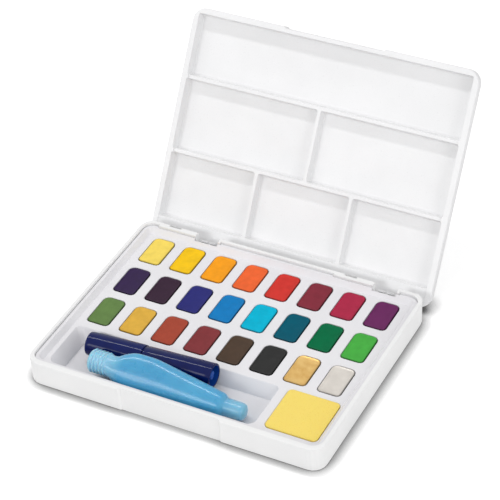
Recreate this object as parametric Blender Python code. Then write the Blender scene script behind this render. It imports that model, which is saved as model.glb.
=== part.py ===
"""Watercolour paint box: a moulded base with a lift-out insert holding 24 pans, a trough with a
water brush and its reservoir, a sponge in its pocket, and a lid with mixing wells on snap hinges.

Metres, +Z up, +Y to the hinge. The origin is the centre of the base's underside. The lid is
drawn closed and then turned open about its hinge axis.
"""

import math

import bmesh
import bpy
from mathutils import Vector

# Overall body
WIDTH = 0.195
DEPTH = 0.14892
CORNER_RADIUS = 0.0089
BASE_HEIGHT = 0.01706
CLEARANCE = 0.0003
OVERRUN = 0.004
CORNER_STEPS = 5

# Base shell
SIDE_WALL = 0.0024
FRONT_WALL = 0.0034
BACK_WALL = 0.0032
BASE_FLOOR = 0.0015
BASE_DRAFT = 0.0003
FOOT_ROUND = 0.0009
RIM_ROUND = 0.0004
LEDGE_WIDTH = 0.0016
BACK_CHAMFER = 0.0012

# Insert tray
BORDER_TOP = 0.0156
BORDER_THICKNESS = 0.0012
BORDER_WIDTH = 0.0022
BORDER_SLOPE = 0.0026
BORDER_ROUND = 0.0003
DECK_TOP = 0.0123
DECK_THICKNESS = 0.0011
HOLLOW_WALL = 0.0012

# Trough for the brush, sunk in the front left of the deck
TROUGH_SPAN = 0.0356
TROUGH_FRONT_MARGIN = 0.00906
TROUGH_LEFT_MARGIN = 0.0105
TROUGH_LEFT_SLOPE = 0.0060
TROUGH_RIGHT_SLOPE = 0.0015
TROUGH_FRONT_SLOPE = 0.0004
TROUGH_BACK_SLOPE = 0.0042
TROUGH_FRONT_CORNER = 0.0052
TROUGH_BACK_CORNER = 0.0034
TROUGH_FILLET = 0.0010
TROUGH_FLOOR = BASE_FLOOR + CLEARANCE + HOLLOW_WALL

# Sponge and its pocket, right of the trough
SPONGE_WIDTH = 0.0330
SPONGE_LENGTH = 0.0340
SPONGE_RIGHT_MARGIN = 0.0084
SPONGE_FRONT_MARGIN = 0.01116
SPONGE_BRIDGE = 0.0061
SPONGE_TOP = 0.0127
SPONGE_CORNER = 0.0030
SPONGE_CROWN = 0.0002
SPONGE_EDGE = 0.0010
SPONGE_SQUEEZE = 0.0006
SPONGE_X = WIDTH / 2 - SPONGE_RIGHT_MARGIN - SPONGE_WIDTH / 2
SPONGE_Y = -DEPTH / 2 + SPONGE_FRONT_MARGIN + SPONGE_LENGTH / 2

TROUGH_LEFT = -WIDTH / 2 + TROUGH_LEFT_MARGIN
TROUGH_RIGHT = SPONGE_X - SPONGE_WIDTH / 2 - SPONGE_BRIDGE
TROUGH_FRONT = -DEPTH / 2 + TROUGH_FRONT_MARGIN
TROUGH_BACK = TROUGH_FRONT + TROUGH_SPAN
TROUGH_LENGTH = TROUGH_RIGHT - TROUGH_LEFT

# Pans, in three rows of eight between the trough and the hinge
ROWS = 3
COLUMNS = 8
PAN_SIDE_MARGIN = 0.00876
PAN_BACK_MARGIN = 0.01017
PAN_TROUGH_GAP = 0.0055
COLUMN_BRIDGE = 0.006685
ROW_BRIDGE = 0.006195
COLUMN_PITCH = (WIDTH - 2 * PAN_SIDE_MARGIN) / COLUMNS
ROW_PITCH = (DEPTH / 2 - PAN_BACK_MARGIN - TROUGH_BACK - PAN_TROUGH_GAP + ROW_BRIDGE) / ROWS
OPENING_WIDTH = COLUMN_PITCH - COLUMN_BRIDGE
OPENING_LENGTH = ROW_PITCH - ROW_BRIDGE
OPENING_FRONT_RADIUS = 0.0028
OPENING_BACK_RADIUS = 0.0041
OPENING_FLARE = 0.00035
PAN_LAP = 0.0009
PAN_WALL = 0.0008
PAN_FLOOR = 0.0010
PAN_DRAFT = 0.0004
PAINT_BELOW_DECK = 0.0002
PAINT_EDGE_ROUND = 0.0004
PAINT_EDGE_WIDTH = 0.0009
PAINT_DISH_INSET = 0.0030
PAINT_DISH_DEPTH = 0.0002

# Lid, its rib places as shares of the depth from the hinge side, or of the width from the middle
LID_HEIGHT = 0.0080
LID_ROOF = 0.0016
LID_RIM = 0.0038
LID_EDGE_ROUND = 0.0013
LID_HINGE_BORDER = 0.0127
LID_HINGE_RELIEF = 0.0004
LID_REAR_RIB_SHARE = 0.3774
LID_FRONT_RIB_SHARE = 0.6990
LID_ROW_RIB_SHARE = 0.1682
LID_RIB_WIDTH = 0.0018
LID_RIB_DROP = 0.0010
LID_WELL_CORNER = 0.0015
LID_WELL_DRAFT = 0.0007
LID_WELL_FILLET = 0.0010
LID_OPEN_ANGLE = math.radians(123.0)

# Finger recess in the front walls, its half widths as shares of the width
FINGER_SHARE = 0.1667
LID_FINGER_SHARE = 0.1718
FINGER_DEPTH = 0.0013
FINGER_RAMP = 0.0014

# Hinge, its two stations placed as shares of the width from the middle
HINGE_INSET = 0.00316
HINGE_Y = DEPTH / 2 - HINGE_INSET
HINGE_Z = 0.0102
HINGE_BAR_RADIUS = 0.0013
HOOK_WALL = 0.0013
HOOK_ARM = 0.0024
HOOK_WIDTH = 0.0044
HOOK_GAP = 0.0016
HOOK_ROOT = 0.0016
HOOK_MOUTH = math.radians(75.0)
HOOK_MOUTH_AT = math.radians(225.0)
STATION_SHARES = (-0.3180, 0.3130)
STATION_LEFT_REACH = 0.0240
STATION_RIGHT_REACH = 0.0200
STATION_INSET = 0.00476
HOOK_OFFSET = 0.0100
NOTCH_OFFSET = 0.0105
NOTCH_HALF = 0.0080
NOTCH_INSET = 0.00646
NOTCH_BOTTOM = 0.0038
SLOT_OFFSET = -0.0135
SLOT_HALF = 0.0042
SLOT_WIDTH = 0.0014
SLOT_DEPTH = 0.0030
SLOT_FROM_BACK = 0.0011

# Water brush: cap and grip lie in the trough, left to right, the grip's end raised
CAP_RADIUS = 0.0077
CAP_END_RADIUS = 0.0070
CAP_WALL = 0.0012
CAP_END_WALL = 0.0020
GRIP_RADIUS = 0.0075
GRIP_STEP = 0.0004
GRIP_STEP_LENGTH = 0.0012
GRIP_WALL = 0.0013
SOCKET_DEPTH = 0.0090
SOCKET_BOSS_RADIUS = 0.0027
SOCKET_BOSS_SHORT = 0.0012
SPIGOT_RADIUS = 0.0055
SPIGOT_LENGTH = 0.0080
NOSE_RADIUS = 0.0028
NOSE_LENGTH = 0.0070
FERRULE_BORE = 0.0030
TUFT_RADIUS = 0.0018
TUFT_BELLY_RADIUS = 0.0023
TUFT_TIP_RADIUS = 0.0003
TUFT_ROOM = 0.0034
BRUSH_START = 0.0127
BRUSH_SHARE = 0.6240
CAP_SHARE = 0.4585
BRUSH_LEFT_GAP = 0.00328
BRUSH_LEFT_LIFT = 0.0007
BRUSH_RIGHT_GAP = 0.00095
BRUSH_RIGHT_LIFT = 0.0030
ROUND_STEPS = 20
BRUSH_LEFT = Vector(
    (
        TROUGH_LEFT + BRUSH_START,
        TROUGH_BACK - CAP_RADIUS - BRUSH_LEFT_GAP,
        TROUGH_FLOOR + CAP_RADIUS + BRUSH_LEFT_LIFT,
    )
)
BRUSH_RIGHT = Vector(
    (
        BRUSH_LEFT.x + TROUGH_LENGTH * BRUSH_SHARE,
        TROUGH_BACK - GRIP_RADIUS - BRUSH_RIGHT_GAP,
        TROUGH_FLOOR + GRIP_RADIUS + BRUSH_RIGHT_LIFT,
    )
)
CAP_LENGTH = TROUGH_LENGTH * BRUSH_SHARE * CAP_SHARE
TUFT_LENGTH = CAP_LENGTH - SPIGOT_LENGTH - NOSE_LENGTH - CAP_END_WALL - TUFT_ROOM

# Reservoir of the water brush, in front of it: round neck and tail, oval belly leaning back
RESERVOIR_START = 0.0220
RESERVOIR_SHARE = 0.7686
RESERVOIR_LENGTH = TROUGH_LENGTH * RESERVOIR_SHARE
RESERVOIR_WALL = 0.0010
NECK_LENGTH = 0.0145
NECK_RADIUS = 0.0065
NECK_BORE = 0.0050
NECK_BACK = 0.0100
NECK_RISE = 0.0120
THREAD_RADIUS = 0.0073
THREAD_COUNT = 5
THREAD_PITCH = 0.0026
THREAD_WIDTH = 0.0009
NECK_LEAD = 0.0010
BELLY_LEAN = math.radians(45.0)
BELLY_LONG = 0.0116
BELLY_SHORT = 0.0065
TAIL_RADIUS = 0.0055
TAIL_BACK = 0.0104
TAIL_RISE = 0.0062
# Each section: place along the length, long and short radius, place behind the trough's front
# edge and height over its floor. The radii are shares of BELLY_LONG and BELLY_SHORT, the last two
# of BELLY_LONG
BELLY_SHARES = (
    (0.1576, 0.629, 1.000, 0.913, 0.941),
    (0.1861, 0.793, 1.000, 0.860, 0.954),
    (0.2232, 0.931, 0.923, 0.870, 0.969),
    (0.2707, 0.991, 0.908, 0.857, 0.934),
    (0.3324, 1.000, 0.908, 0.886, 0.931),
    (0.4084, 0.991, 0.908, 0.908, 0.934),
    (0.5033, 0.922, 1.000, 0.883, 0.875),
    (0.6173, 0.836, 1.000, 0.895, 0.746),
    (0.7313, 0.741, 0.969, 0.860, 0.684),
    (0.8167, 0.664, 0.938, 0.852, 0.633),
    (0.8509, 0.621, 0.923, 0.856, 0.606),
    (0.8699, 0.526, 0.892, 0.894, 0.548),
)
# Each ring: place along the length and radius, as shares of the length and the tail's radius
TAIL_SHARES = ((0.8830, 1.0), (0.9640, 0.98), (0.9860, 0.80), (1.0, 0.40))

PAINTS = (
    ("a1", "pale_yellow", (0.91, 0.83, 0.43)),
    ("a2", "yellow", (0.90, 0.75, 0.26)),
    ("a3", "orange_yellow", (0.92, 0.63, 0.25)),
    ("a4", "orange", (0.88, 0.45, 0.30)),
    ("a5", "red", (0.76, 0.28, 0.26)),
    ("a6", "crimson", (0.50, 0.25, 0.28)),
    ("a7", "magenta", (0.63, 0.24, 0.33)),
    ("a8", "purple", (0.42, 0.25, 0.38)),
    ("b1", "dark_violet", (0.28, 0.24, 0.33)),
    ("b2", "aubergine", (0.28, 0.23, 0.28)),
    ("b3", "ultramarine", (0.25, 0.25, 0.45)),
    ("b4", "sky_blue", (0.20, 0.51, 0.72)),
    ("b5", "turquoise", (0.13, 0.67, 0.77)),
    ("b6", "dark_teal", (0.10, 0.37, 0.42)),
    ("b7", "green", (0.08, 0.42, 0.31)),
    ("b8", "bright_green", (0.33, 0.65, 0.33)),
    ("c1", "leaf_green", (0.43, 0.51, 0.26)),
    ("c2", "ochre", (0.80, 0.65, 0.33)),
    ("c3", "brick", (0.61, 0.32, 0.27)),
    ("c4", "maroon", (0.49, 0.27, 0.28)),
    ("c5", "umber", (0.35, 0.30, 0.27)),
    ("c6", "black", (0.26, 0.26, 0.26)),
    ("c7", "gold", (0.82, 0.69, 0.44)),
    ("c8", "pearl", (0.86, 0.83, 0.78)),
)
METAL_PAINTS = ("gold", "pearl")


def linear(colour):
    """A display colour as the linear values that a shader takes."""
    return [c / 12.92 if c <= 0.04045 else ((c + 0.055) / 1.055) ** 2.4 for c in colour] + [1.0]


def finish(name, colour, roughness, metallic=0.0):
    """A plain surface finish."""
    material = bpy.data.materials.new(name)
    material.use_nodes = True
    shader = material.node_tree.nodes["Principled BSDF"]
    shader.inputs["Base Color"].default_value = linear(colour)
    shader.inputs["Roughness"].default_value = roughness
    shader.inputs["Metallic"].default_value = metallic
    return material


def rounded(x0, x1, y0, y1, front_radius, back_radius, z, steps=CORNER_STEPS):
    """A rounded rectangle at height z as points, anticlockwise from its right front corner."""
    corners = (
        (x1, y0, -1, 1, front_radius, -90),
        (x1, y1, -1, -1, back_radius, 0),
        (x0, y1, 1, -1, back_radius, 90),
        (x0, y0, 1, 1, front_radius, 180),
    )
    points = []
    for x, y, inward_x, inward_y, radius, start in corners:
        centre_x, centre_y = x + inward_x * radius, y + inward_y * radius
        for step in range(steps + 1):
            angle = math.radians(start + 90 * step / steps)
            across, along = radius * math.cos(angle), radius * math.sin(angle)
            points.append(Vector((centre_x + across, centre_y + along, z)))
    return points


def inset_ring(half_x, front, back, radius, inset, z, steps=CORNER_STEPS):
    """A rounded rectangle centred on x, drawn in by one inset all round."""
    x0, x1, y0, y1 = -half_x + inset, half_x - inset, front + inset, back - inset
    return rounded(x0, x1, y0, y1, radius - inset, radius - inset, z, steps)


def circle(centre, axis, radius, steps=ROUND_STEPS):
    """A circle as points, anticlockwise about its axis."""
    across = axis.cross(Vector((0, 0, 1))).normalized()
    up = across.cross(axis).normalized()
    turns = [math.tau * step / steps for step in range(steps)]
    return [centre + radius * (math.cos(t) * across - math.sin(t) * up) for t in turns]


def bridge(mesh, rings):
    """Closed solid through stacked rings of equal count, its ends filled."""
    loops = [[mesh.verts.new(point) for point in ring] for ring in rings]
    count = len(loops[0])
    for lower, upper in zip(loops, loops[1:]):
        for i in range(count):
            j = (i + 1) % count
            mesh.faces.new((lower[i], lower[j], upper[j], upper[i]))
    mesh.faces.new(reversed(loops[0]))
    mesh.faces.new(loops[-1])


def loft(name, *solids, material=None):
    """An object whose mesh holds one closed solid for each stack of rings."""
    mesh = bmesh.new()
    for rings in solids:
        bridge(mesh, rings)
    bmesh.ops.recalc_face_normals(mesh, faces=mesh.faces)
    data = bpy.data.meshes.new(name)
    mesh.to_mesh(data)
    mesh.free()
    obj = bpy.data.objects.new(name, data)
    bpy.context.scene.collection.objects.link(obj)
    if material:
        data.materials.append(material)
        data.shade_smooth()
        data.set_sharp_from_angle(angle=math.radians(35))
    return obj


def box(name, x0, x1, y0, y1, z0, z1):
    """A plain block."""
    corners = [(x0, y0), (x1, y0), (x1, y1), (x0, y1)]
    return loft(name, [[Vector((x, y, z)) for x, y in corners] for z in (z0, z1)])


def boolean(obj, operation, other):
    """Joins or cuts with another solid, which becomes a hidden helper."""
    modifier = obj.modifiers.new(other.name, "BOOLEAN")
    modifier.operation = operation
    modifier.solver = "EXACT"
    modifier.object = other
    other.hide_render = True
    other.display_type = "WIRE"


def station_places():
    """Side and middle of each hinge station."""
    return [(side, WIDTH * share) for side, share in zip(("left", "right"), STATION_SHARES)]


def finger_cutter(name, share, z0, z1):
    """A shallow recess in a front wall, its ends ramped."""
    half, front = WIDTH * share, -DEPTH / 2
    outline = (
        (-half - OVERRUN, front - OVERRUN),
        (half + OVERRUN, front - OVERRUN),
        (half + FINGER_RAMP, front),
        (half, front + FINGER_DEPTH),
        (-half, front + FINGER_DEPTH),
        (-half - FINGER_RAMP, front),
    )
    return loft(name, [[Vector((x, y, z)) for x, y in outline] for z in (z0, z1)])


def build_base(material):
    """The base: drafted walls, an inner ledge, hinge blocks with their bars, and a finger recess."""
    half_x, front, back = WIDTH / 2, -DEPTH / 2, DEPTH / 2
    outer = [
        inset_ring(half_x, front, back, CORNER_RADIUS, inset, z)
        for inset, z in (
            (BASE_DRAFT + FOOT_ROUND, 0),
            (BASE_DRAFT + FOOT_ROUND / 4, FOOT_ROUND / 4),
            (BASE_DRAFT, FOOT_ROUND),
            (0, BASE_HEIGHT - RIM_ROUND),
            (RIM_ROUND, BASE_HEIGHT),
        )
    ]
    base = loft("base_shell", outer, material=material)

    ledge = BORDER_TOP - BORDER_THICKNESS - CLEARANCE
    inner_x, inner_front, inner_back = half_x - SIDE_WALL, front + FRONT_WALL, back - BACK_WALL
    inner_radius = CORNER_RADIUS - SIDE_WALL
    cavity = loft(
        "cut_base_cavity",
        [
            inset_ring(inner_x, inner_front, inner_back, inner_radius, LEDGE_WIDTH, BASE_FLOOR),
            inset_ring(inner_x, inner_front, inner_back, inner_radius, LEDGE_WIDTH, ledge),
            inset_ring(inner_x, inner_front, inner_back, inner_radius, 0, ledge),
            inset_ring(inner_x, inner_front, inner_back, inner_radius, 0, BASE_HEIGHT + OVERRUN),
        ],
    )
    boolean(base, "DIFFERENCE", cavity)

    slant = [
        (back - BACK_CHAMFER - OVERRUN, BASE_HEIGHT + OVERRUN),
        (back + OVERRUN, BASE_HEIGHT - BACK_CHAMFER - OVERRUN),
        (back + OVERRUN, BASE_HEIGHT + OVERRUN),
    ]
    chamfer_ends = (-half_x - OVERRUN, half_x + OVERRUN)
    chamfer = loft("cut_back_chamfer", [[Vector((x, y, z)) for y, z in slant] for x in chamfer_ends])
    for side, x in station_places():
        block = box(
            f"add_hinge_block_{side}",
            x - STATION_LEFT_REACH,
            x + STATION_RIGHT_REACH,
            back - STATION_INSET,
            back - BACK_WALL / 2,
            BASE_FLOOR / 2,
            BASE_HEIGHT,
        )
        boolean(base, "UNION", block)
    boolean(base, "DIFFERENCE", chamfer)
    for side, x in station_places():
        centre = x + NOTCH_OFFSET
        notch = box(
            f"cut_hinge_notch_{side}",
            centre - NOTCH_HALF,
            centre + NOTCH_HALF,
            back - NOTCH_INSET,
            back + OVERRUN,
            NOTCH_BOTTOM,
            BASE_HEIGHT + OVERRUN,
        )
        boolean(base, "DIFFERENCE", notch)
        slot_back = back - SLOT_FROM_BACK
        slot = box(
            f"cut_rim_slot_{side}",
            x + SLOT_OFFSET - SLOT_HALF,
            x + SLOT_OFFSET + SLOT_HALF,
            slot_back - SLOT_WIDTH,
            slot_back,
            BASE_HEIGHT - SLOT_DEPTH,
            BASE_HEIGHT + OVERRUN,
        )
        boolean(base, "DIFFERENCE", slot)
        along = Vector((1, 0, 0))
        bar_reach = NOTCH_HALF + (STATION_RIGHT_REACH - NOTCH_OFFSET - NOTCH_HALF) / 2
        ends = [Vector((centre + sign * bar_reach, HINGE_Y, HINGE_Z)) for sign in (-1, 1)]
        bar_rings = [circle(end, along, HINGE_BAR_RADIUS, ROUND_STEPS // 2) for end in ends]
        bar = loft(f"add_hinge_bar_{side}", bar_rings)
        boolean(base, "UNION", bar)
    finger = finger_cutter("cut_base_finger", FINGER_SHARE, -OVERRUN, BASE_HEIGHT + OVERRUN)
    boolean(base, "DIFFERENCE", finger)
    return base


def pan_places():
    """Centre of each opening, row by row from the hinge."""
    for index in range(len(PAINTS)):
        row, column = divmod(index, COLUMNS)
        first_y = DEPTH / 2 - PAN_BACK_MARGIN - OPENING_LENGTH / 2
        yield (column - (COLUMNS - 1) / 2) * COLUMN_PITCH, first_y - row * ROW_PITCH


def pan_ring(x, y, grow, z):
    """The outline of a pan opening, rounder at the back, grown all round."""
    half_x, half_y = OPENING_WIDTH / 2 + grow, OPENING_LENGTH / 2 + grow
    front_radius, back_radius = OPENING_FRONT_RADIUS + grow, OPENING_BACK_RADIUS + grow
    return rounded(x - half_x, x + half_x, y - half_y, y + half_y, front_radius, back_radius, z, 3)


def trough_ring(inset_share, grow, z):
    """The trough's outline, from its edge at the deck (share 0) to its floor (share 1)."""
    return rounded(
        TROUGH_LEFT + TROUGH_LEFT_SLOPE * inset_share - grow,
        TROUGH_RIGHT - TROUGH_RIGHT_SLOPE * inset_share + grow,
        TROUGH_FRONT + TROUGH_FRONT_SLOPE * inset_share - grow,
        TROUGH_BACK - TROUGH_BACK_SLOPE * inset_share + grow,
        TROUGH_FRONT_CORNER + grow,
        TROUGH_BACK_CORNER + grow,
        z,
    )


def pocket_ring(grow, z):
    """The sponge pocket's outline."""
    half_x, half_y = SPONGE_WIDTH / 2 + CLEARANCE + grow, SPONGE_LENGTH / 2 + CLEARANCE + grow
    radius = SPONGE_CORNER + CLEARANCE + grow
    x0, x1, y0, y1 = SPONGE_X - half_x, SPONGE_X + half_x, SPONGE_Y - half_y, SPONGE_Y + half_y
    return rounded(x0, x1, y0, y1, radius, radius, z)


def build_insert(material):
    """The lift-out tray: raised border, sunk deck with 24 openings, trough, sponge pocket."""
    half_x = WIDTH / 2 - SIDE_WALL - CLEARANCE
    front, back = -DEPTH / 2 + FRONT_WALL + CLEARANCE, DEPTH / 2 - BACK_WALL - CLEARANCE
    radius = CORNER_RADIUS - SIDE_WALL - CLEARANCE
    under = LEDGE_WIDTH + CLEARANCE
    hollow_bottom = BASE_FLOOR + CLEARANCE
    deck_bottom = DECK_TOP - DECK_THICKNESS
    flange_bottom = BORDER_TOP - BORDER_THICKNESS
    insert = loft(
        "insert_tray",
        [
            inset_ring(half_x, front, back, radius, under, deck_bottom),
            inset_ring(half_x, front, back, radius, under, flange_bottom),
            inset_ring(half_x, front, back, radius, 0, flange_bottom),
            inset_ring(half_x, front, back, radius, 0, BORDER_TOP - BORDER_ROUND),
            inset_ring(half_x, front, back, radius, BORDER_ROUND, BORDER_TOP),
        ],
        material=material,
    )
    deck_middle = DECK_TOP - DECK_THICKNESS / 2
    boolean(
        insert,
        "UNION",
        loft(
            "add_hollows",
            [trough_ring(1, HOLLOW_WALL, hollow_bottom), trough_ring(0, HOLLOW_WALL, deck_middle)],
            [pocket_ring(HOLLOW_WALL, hollow_bottom), pocket_ring(HOLLOW_WALL, deck_middle)],
        ),
    )
    sunk = BORDER_WIDTH + BORDER_SLOPE
    above = BORDER_TOP + OVERRUN
    boolean(
        insert,
        "DIFFERENCE",
        loft(
            "cut_deck",
            [
                inset_ring(half_x, front, back, radius, sunk, DECK_TOP),
                inset_ring(half_x, front, back, radius, BORDER_WIDTH, BORDER_TOP),
                inset_ring(half_x, front, back, radius, BORDER_WIDTH, above),
            ],
        ),
    )
    boolean(
        insert,
        "DIFFERENCE",
        loft(
            "cut_openings",
            *[
                [
                    pan_ring(x, y, 0, deck_bottom - OVERRUN / 4),
                    pan_ring(x, y, 0, DECK_TOP - OPENING_FLARE),
                    pan_ring(x, y, OPENING_FLARE, DECK_TOP),
                    pan_ring(x, y, OPENING_FLARE, DECK_TOP + OVERRUN / 4),
                ]
                for x, y in pan_places()
            ],
        ),
    )
    floor = TROUGH_FLOOR
    boolean(
        insert,
        "DIFFERENCE",
        loft(
            "cut_hollows",
            [
                trough_ring(1, -TROUGH_FILLET, floor),
                trough_ring(1, -TROUGH_FILLET / 4, floor + TROUGH_FILLET / 3),
                trough_ring(1, 0, floor + TROUGH_FILLET),
                trough_ring(0, 0, DECK_TOP - OPENING_FLARE),
                trough_ring(0, OPENING_FLARE, DECK_TOP),
                trough_ring(0, OPENING_FLARE, above),
            ],
            [
                pocket_ring(0, floor),
                pocket_ring(0, DECK_TOP - OPENING_FLARE),
                pocket_ring(OPENING_FLARE, DECK_TOP),
                pocket_ring(OPENING_FLARE, above),
            ],
        ),
    )
    for side, x in station_places():
        x0, x1 = x - STATION_LEFT_REACH - CLEARANCE, x + STATION_RIGHT_REACH + CLEARANCE
        edge, hook_edge = DEPTH / 2 - STATION_INSET - CLEARANCE, DEPTH / 2 - NOTCH_INSET
        notch = box(f"cut_insert_notch_{side}", x0, x1, edge, back + OVERRUN, 0, above)
        boolean(insert, "DIFFERENCE", notch)
        middle = x + NOTCH_OFFSET
        x0, x1 = middle - NOTCH_HALF, middle + NOTCH_HALF
        room = box(f"cut_insert_hook_room_{side}", x0, x1, hook_edge, back + OVERRUN, 0, above)
        boolean(insert, "DIFFERENCE", room)
    return insert


def build_pan(tag, paint, x, y, cup_material, paint_material):
    """One pan below its opening, and the pressed cake of paint that rises into the opening."""
    top = DECK_TOP - DECK_THICKNESS - CLEARANCE
    bottom = BASE_FLOOR + CLEARANCE
    inner = PAN_LAP - PAN_WALL
    cup = loft(
        f"pan_{tag}",
        [
            pan_ring(x, y, PAN_LAP - PAN_DRAFT, bottom),
            pan_ring(x, y, PAN_LAP, top),
            pan_ring(x, y, inner, top),
            pan_ring(x, y, inner - PAN_DRAFT, bottom + PAN_FLOOR),
        ],
        material=cup_material,
    )
    paint_bottom = bottom + PAN_FLOOR + CLEARANCE
    paint_top = DECK_TOP - PAINT_BELOW_DECK
    shrink = inner - CLEARANCE
    cake = loft(
        f"paint_{tag}_{paint}",
        [
            pan_ring(x, y, shrink - PAN_DRAFT, paint_bottom),
            pan_ring(x, y, shrink, paint_top - PAINT_EDGE_ROUND),
            pan_ring(x, y, shrink - PAINT_EDGE_WIDTH, paint_top),
            pan_ring(x, y, shrink - PAINT_DISH_INSET, paint_top - PAINT_DISH_DEPTH),
        ],
        material=paint_material,
    )
    return cup, cake


def build_sponge(material):
    """The sponge: a soft block with drawn-in sides and a low crown."""
    bottom = TROUGH_FLOOR + CLEARANCE
    height = SPONGE_TOP - bottom

    def ring(inset, z):
        half_x, half_y = SPONGE_WIDTH / 2 - inset, SPONGE_LENGTH / 2 - inset
        radius = SPONGE_CORNER * half_x * 2 / SPONGE_WIDTH
        x0, x1, y0, y1 = SPONGE_X - half_x, SPONGE_X + half_x, SPONGE_Y - half_y, SPONGE_Y + half_y
        return rounded(x0, x1, y0, y1, radius, radius, z)

    return loft(
        "sponge",
        [
            ring(SPONGE_EDGE / 2, bottom),
            ring(SPONGE_EDGE / 8, bottom + SPONGE_EDGE / 2),
            ring(SPONGE_SQUEEZE / 2, bottom + height / 2),
            ring(SPONGE_EDGE / 8, SPONGE_TOP - SPONGE_EDGE),
            ring(SPONGE_EDGE / 2, SPONGE_TOP - SPONGE_EDGE / 4),
            ring(SPONGE_EDGE, SPONGE_TOP),
            ring(SPONGE_WIDTH / 4, SPONGE_TOP + SPONGE_CROWN),
        ],
        material=material,
    )


def lid_well(v0, v1, x0, x1, rim_z, floor_z):
    """One mixing well as rings from the rim to the well floor, v measured from the hinge side."""
    y0, y1 = DEPTH / 2 - v1, DEPTH / 2 - v0
    depth = floor_z - rim_z

    def ring(inset, z):
        radius = LID_WELL_CORNER - inset / 2
        return rounded(x0 + inset, x1 - inset, y0 + inset, y1 - inset, radius, radius, z, 4)

    return [
        ring(-LID_WELL_DRAFT / depth * OVERRUN, rim_z - OVERRUN),
        ring(LID_WELL_DRAFT, floor_z - LID_WELL_FILLET),
        ring(LID_WELL_DRAFT + LID_WELL_FILLET / 4, floor_z - LID_WELL_FILLET / 3),
        ring(LID_WELL_DRAFT + LID_WELL_FILLET, floor_z),
    ]


def hook_outline():
    """The snap hook seen along the hinge axis, as (y, z) points from that axis, lid closed."""
    inner = HINGE_BAR_RADIUS + CLEARANCE
    outer = inner + HOOK_WALL
    mouth_low = HOOK_MOUTH_AT + HOOK_MOUTH / 2 - math.tau
    mouth_high = HOOK_MOUTH_AT - HOOK_MOUTH / 2
    arm_angle = math.acos((outer - HOOK_ARM) / outer)
    top = BASE_HEIGHT + CLEARANCE + HOOK_ROOT - HINGE_Z

    def arc(radius, start, end, steps):
        turns = [start + (end - start) * step / steps for step in range(steps + 1)]
        return [(radius * math.cos(t), radius * math.sin(t)) for t in turns]

    return (
        [(outer, top)]
        + arc(outer, 0, mouth_low, 5)
        + arc(inner, mouth_low, mouth_high, 12)
        + arc(outer, mouth_high, arm_angle, 6)
        + [(outer - HOOK_ARM, top)]
    )


def build_lid(material):
    """The lid, drawn closed in its hinge's frame and turned open about it."""
    pivot = bpy.data.objects.new("lid_hinge", None)
    bpy.context.scene.collection.objects.link(pivot)
    pivot.location = (0, HINGE_Y, HINGE_Z)
    half_x, front, back = WIDTH / 2, -DEPTH / 2, DEPTH / 2
    rim_z = BASE_HEIGHT + CLEARANCE
    top_z = BASE_HEIGHT + LID_HEIGHT
    lid = loft(
        "lid_shell",
        [
            inset_ring(half_x, front, back, CORNER_RADIUS, inset, z)
            for inset, z in (
                (RIM_ROUND, rim_z),
                (0, rim_z + RIM_ROUND),
                (BASE_DRAFT, top_z - LID_EDGE_ROUND),
                (BASE_DRAFT + LID_EDGE_ROUND / 4, top_z - LID_EDGE_ROUND / 3),
                (BASE_DRAFT + LID_EDGE_ROUND, top_z),
            )
        ],
        material=material,
    )
    floor_z = top_z - LID_ROOF
    half_rib = LID_RIB_WIDTH / 2
    well_x = half_x - LID_RIM
    front_v = DEPTH - LID_RIM
    rear, middle = DEPTH * LID_REAR_RIB_SHARE, DEPTH * LID_FRONT_RIB_SHARE
    row_rib = WIDTH * LID_ROW_RIB_SHARE
    hinge_cells = (
        (-well_x, -row_rib - half_rib),
        (-row_rib + half_rib, row_rib - half_rib),
        (row_rib + half_rib, well_x),
    )
    cells = [(LID_HINGE_BORDER, rear - half_rib, x0, x1) for x0, x1 in hinge_cells]
    middle_cells = ((-well_x, -half_rib), (half_rib, well_x))
    cells += [(rear + half_rib, middle - half_rib, x0, x1) for x0, x1 in middle_cells]
    cells.append((middle + half_rib, front_v, -well_x, well_x))
    wells = [lid_well(*cell, rim_z, floor_z) for cell in cells]
    helpers = [("DIFFERENCE", loft("cut_lid_wells", *wells))]

    rib_v0, rib_v1 = LID_HINGE_BORDER + LID_WELL_FILLET, front_v - LID_WELL_FILLET
    rib_x = well_x - LID_WELL_FILLET
    drop_z = rim_z + LID_RIB_DROP
    drop = box("cut_lid_rib_tops", -rib_x, rib_x, back - rib_v1, back - rib_v0, rim_z - OVERRUN, drop_z)
    helpers.append(("DIFFERENCE", drop))
    relief_x = half_x - LID_RIM
    relief = box(
        "cut_lid_hinge_relief",
        -relief_x,
        relief_x,
        back - LID_HINGE_BORDER - LID_WELL_FILLET,
        back + OVERRUN,
        rim_z - OVERRUN,
        rim_z + LID_HINGE_RELIEF,
    )
    helpers.append(("DIFFERENCE", relief))
    finger = finger_cutter("cut_lid_finger", LID_FINGER_SHARE, rim_z - OVERRUN, top_z + OVERRUN)
    helpers.append(("DIFFERENCE", finger))

    outline = hook_outline()
    for side, station in station_places():
        centre = station + HOOK_OFFSET
        starts = (centre - HOOK_GAP / 2 - HOOK_WIDTH, centre + HOOK_GAP / 2)
        hooks = []
        for start in starts:
            sides = (start, start + HOOK_WIDTH)
            hooks.append([[Vector((x, HINGE_Y + y, HINGE_Z + z)) for y, z in outline] for x in sides])
        helpers.append(("UNION", loft(f"add_hooks_{side}", *hooks)))
    for operation, helper in helpers:
        boolean(lid, operation, helper)
    for piece in (lid, *[helper for _, helper in helpers]):
        piece.parent = pivot
        piece.location = -pivot.location
    pivot.rotation_euler = (-LID_OPEN_ANGLE, 0, 0)
    return lid


def turned(name, start, axis, profile, material):
    """A turned solid from (distance along the axis, radius) pairs, ends filled."""
    rings = [circle(start + axis * along, axis, radius) for along, radius in profile]
    return loft(name, rings, material=material)


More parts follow.
